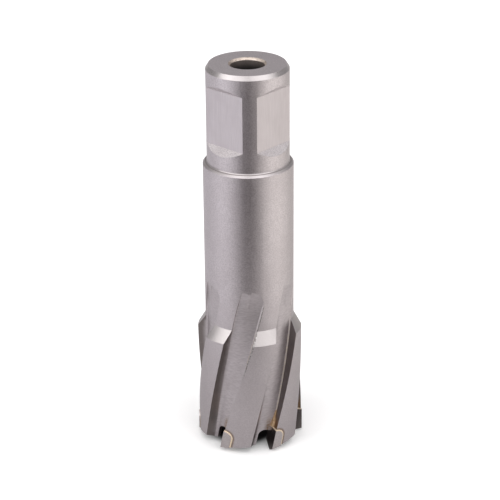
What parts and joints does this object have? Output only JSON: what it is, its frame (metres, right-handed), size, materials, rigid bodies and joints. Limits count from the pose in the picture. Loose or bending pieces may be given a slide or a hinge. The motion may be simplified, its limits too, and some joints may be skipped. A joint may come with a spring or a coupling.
{
  "type": "annular cutter",
  "caption": "Hollow cylindrical drill-press cutter with brazed carbide teeth, helical flutes and a plain shank with drive flats, for cutting holes in steel plate by removing a ring.",
  "frame": {"origin": "on the cutter's axis, in the plane of the tooth crests", "axes": "+Z along the cutter's axis from the teeth to the shank's end; -Y towards the rib between the two drive flats"},
  "size_m": [0.025, 0.0246, 0.0937],
  "materials": {
    "tool_steel": "fine ground satin, round the axis",
    "carbide": "ground satin",
    "braze": "as brazed, half matt"
  },
  "bodies": {
    "root": {"cutter_body": "tool_steel", "carbide_tip_1": "carbide", "carbide_tip_2": "carbide", "carbide_tip_3": "carbide", "carbide_tip_4": "carbide", "carbide_tip_5": "carbide", "carbide_tip_6": "carbide", "braze_joint_1": "braze", "braze_joint_2": "braze", "braze_joint_3": "braze", "braze_joint_4": "braze", "braze_joint_5": "braze", "braze_joint_6": "braze"}
  },
  "joints": []
}
